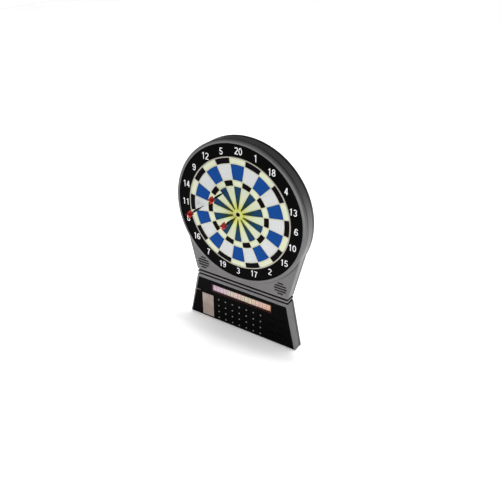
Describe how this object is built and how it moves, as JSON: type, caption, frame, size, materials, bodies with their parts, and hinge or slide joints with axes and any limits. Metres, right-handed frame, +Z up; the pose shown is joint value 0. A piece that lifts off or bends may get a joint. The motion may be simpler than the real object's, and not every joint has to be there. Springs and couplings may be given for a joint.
{
  "type": "electronic dartboard",
  "caption": "Free-standing electronic dartboard: round target head with pressable scoring segments on a flared console with score display, keys, darts and a fold-out rear brace.",
  "frame": {"origin": "centre of the resting face, on the floor plane under the middle of the cabinet", "axes": "+X to the right as seen from the front, -Y is the way the target faces, +Z up"},
  "size_m": [0.44, 0.2317, 0.632],
  "materials": {
    "grey_shell": "fine grained moulded plastic, mid grey",
    "dark_shell": "fine grained moulded plastic, dark grey",
    "ring_black": "satin black",
    "spider_cream": "satin pale cream",
    "segment_black": "satin black, drilled with dart holes",
    "segment_cream": "satin cream, drilled with dart holes",
    "segment_blue": "satin blue, drilled with dart holes",
    "segment_white": "satin white, drilled with dart holes",
    "bull_yellow": "satin lime yellow",
    "black_rubber": "matt rubber",
    "film": "printed film",
    "fibreboard": "bare fibreboard",
    "gloss_black": "glossy black",
    "red_window": "tinted clear window",
    "lamp_white": "diffuse white",
    "card_beige": "printed card",
    "pcb_green": "solder mask",
    "black_moulding": "plain moulded black",
    "steel": "zinc plated",
    "switch_red": "satin",
    "key_black": "satin black",
    "dart_point": "soft plastic point",
    "dart_metal": "black plated brass, grooved grip",
    "flight_red": "thin polyester sheet"
  },
  "bodies": {
    "cabinet": {"front_cabinet": "grey_shell", "rear_cabinet": "dark_shell", "bezel_ring": "grey_shell", "number_ring": "ring_black", "spider_grid": "spider_cream", "rubber_mat": "black_rubber", "sensor_matrix": "film", "backing_board": "fibreboard", "console_fascia": "gloss_black", "display_lens": "red_window", "display_module": "lamp_white", "game_card": "card_beige", "cricket_lamps": "lamp_white", "key_mat": "black_rubber", "main_pcb": "pcb_green", "speaker_left": "black_moulding", "speaker_right": "black_moulding", "storage_hinge_pin": "steel", "storage_tray": "black_moulding", "battery_tray": "black_moulding", "batteries": "steel", "battery_contacts": "steel", "switch_body": "black_moulding", "dc_jack": "black_moulding", "case_screws": "steel", "target_screws": "steel", "rubber_feet": "black_rubber", "brace_hinge_pin": "steel"},
    "double_black": {"double_black": "segment_black"},
    "double_cream": {"double_cream": "segment_cream"},
    "outer_single_blue": {"outer_single_blue": "segment_blue"},
    "outer_single_white": {"outer_single_white": "segment_white"},
    "triple_black": {"triple_black": "segment_black"},
    "triple_cream": {"triple_cream": "segment_cream"},
    "inner_single_blue": {"inner_single_blue": "segment_blue"},
    "inner_single_white": {"inner_single_white": "segment_white"},
    "outer_bull": {"outer_bull": "bull_yellow"},
    "inner_bull": {"inner_bull": "segment_black"},
    "dart1": {"dart1_tip": "dart_point", "dart1_barrel": "dart_metal", "dart1_flight": "flight_red"},
    "dart2": {"dart2_tip": "dart_point", "dart2_barrel": "dart_metal", "dart2_flight": "flight_red"},
    "dart3": {"dart3_tip": "dart_point", "dart3_barrel": "dart_metal", "dart3_flight": "flight_red"},
    "key_start": {"key_start": "key_black"},
    "key_game": {"key_game": "key_black"},
    "key_option": {"key_option": "key_black"},
    "key_player": {"key_player": "key_black"},
    "key_hold": {"key_hold": "key_black"},
    "key_sound": {"key_sound": "key_black"},
    "power_switch": {"power_switch": "switch_red"},
    "storage_door": {"storage_door": "gloss_black"},
    "battery_door": {"battery_door": "dark_shell"},
    "brace": {"brace_wing": "black_moulding", "brace_pad": "black_rubber"}
  },
  "joints": [
    {"name": "double_black_press", "type": "slide", "parent": "cabinet", "child": "double_black", "axis": [0, 1, 0], "range_m": [0, 0.0014], "stiffness_N_per_m": 300},
    {"name": "double_cream_press", "type": "slide", "parent": "cabinet", "child": "double_cream", "axis": [0, 1, 0], "range_m": [0, 0.0014], "stiffness_N_per_m": 300},
    {"name": "outer_single_blue_press", "type": "slide", "parent": "cabinet", "child": "outer_single_blue", "axis": [0, 1, 0], "range_m": [0, 0.0014], "stiffness_N_per_m": 300},
    {"name": "outer_single_white_press", "type": "slide", "parent": "cabinet", "child": "outer_single_white", "axis": [0, 1, 0], "range_m": [0, 0.0014], "stiffness_N_per_m": 300},
    {"name": "triple_black_press", "type": "slide", "parent": "cabinet", "child": "triple_black", "axis": [0, 1, 0], "range_m": [0, 0.0014], "stiffness_N_per_m": 300},
    {"name": "triple_cream_press", "type": "slide", "parent": "cabinet", "child": "triple_cream", "axis": [0, 1, 0], "range_m": [0, 0.0014], "stiffness_N_per_m": 300},
    {"name": "inner_single_blue_press", "type": "slide", "parent": "cabinet", "child": "inner_single_blue", "axis": [0, 1, 0], "range_m": [0, 0.0014], "stiffness_N_per_m": 300},
    {"name": "inner_single_white_press", "type": "slide", "parent": "cabinet", "child": "inner_single_white", "axis": [0, 1, 0], "range_m": [0, 0.0014], "stiffness_N_per_m": 300},
    {"name": "outer_bull_press", "type": "slide", "parent": "cabinet", "child": "outer_bull", "axis": [0, 1, 0], "range_m": [0, 0.0014], "stiffness_N_per_m": 300},
    {"name": "inner_bull_press", "type": "slide", "parent": "cabinet", "child": "inner_bull", "axis": [0, 1, 0], "range_m": [0, 0.0014], "stiffness_N_per_m": 300},
    {"name": "dart1_pull", "type": "slide", "parent": "inner_single_blue", "child": "dart1", "axis": [0, -1, 0], "range_m": [0, 0.03]},
    {"name": "dart2_pull", "type": "slide", "parent": "outer_single_white", "child": "dart2", "axis": [0, -1, 0], "range_m": [0, 0.03]},
    {"name": "dart3_pull", "type": "slide", "parent": "outer_bull", "child": "dart3", "axis": [0, -1, 0], "range_m": [0, 0.03]},
    {"name": "key_start_press", "type": "slide", "parent": "cabinet", "child": "key_start", "axis": [0, 1, 0], "range_m": [0, 0.0012], "stiffness_N_per_m": 250},
    {"name": "key_game_press", "type": "slide", "parent": "cabinet", "child": "key_game", "axis": [0, 1, 0], "range_m": [0, 0.0012], "stiffness_N_per_m": 250},
    {"name": "key_option_press", "type": "slide", "parent": "cabinet", "child": "key_option", "axis": [0, 1, 0], "range_m": [0, 0.0012], "stiffness_N_per_m": 250},
    {"name": "key_player_press", "type": "slide", "parent": "cabinet", "child": "key_player", "axis": [0, 1, 0], "range_m": [0, 0.0012], "stiffness_N_per_m": 250},
    {"name": "key_hold_press", "type": "slide", "parent": "cabinet", "child": "key_hold", "axis": [0, 1, 0], "range_m": [0, 0.0012], "stiffness_N_per_m": 250},
    {"name": "key_sound_press", "type": "slide", "parent": "cabinet", "child": "key_sound", "axis": [0, 1, 0], "range_m": [0, 0.0012], "stiffness_N_per_m": 250},
    {"name": "power_slide", "type": "slide", "parent": "cabinet", "child": "power_switch", "axis": [0, 0, 1], "range_m": [0, 0.0045]},
    {"name": "storage_door_hinge", "type": "hinge", "parent": "cabinet", "child": "storage_door", "pos_m": [-0.17, -0.0165, 0.0091], "axis": [1, 0, 0], "range_deg": [0, 80]},
    {"name": "battery_door_hinge", "type": "hinge", "parent": "cabinet", "child": "battery_door", "pos_m": [-0.085, 0.0164, 0.0631], "axis": [-1, 0, 0], "range_deg": [0, 75]},
    {"name": "brace_hinge", "type": "hinge", "parent": "cabinet", "child": "brace", "pos_m": [0, 0.023, 0.137], "axis": [0, 0, 1], "range_deg": [-90, 0]}
  ]
}
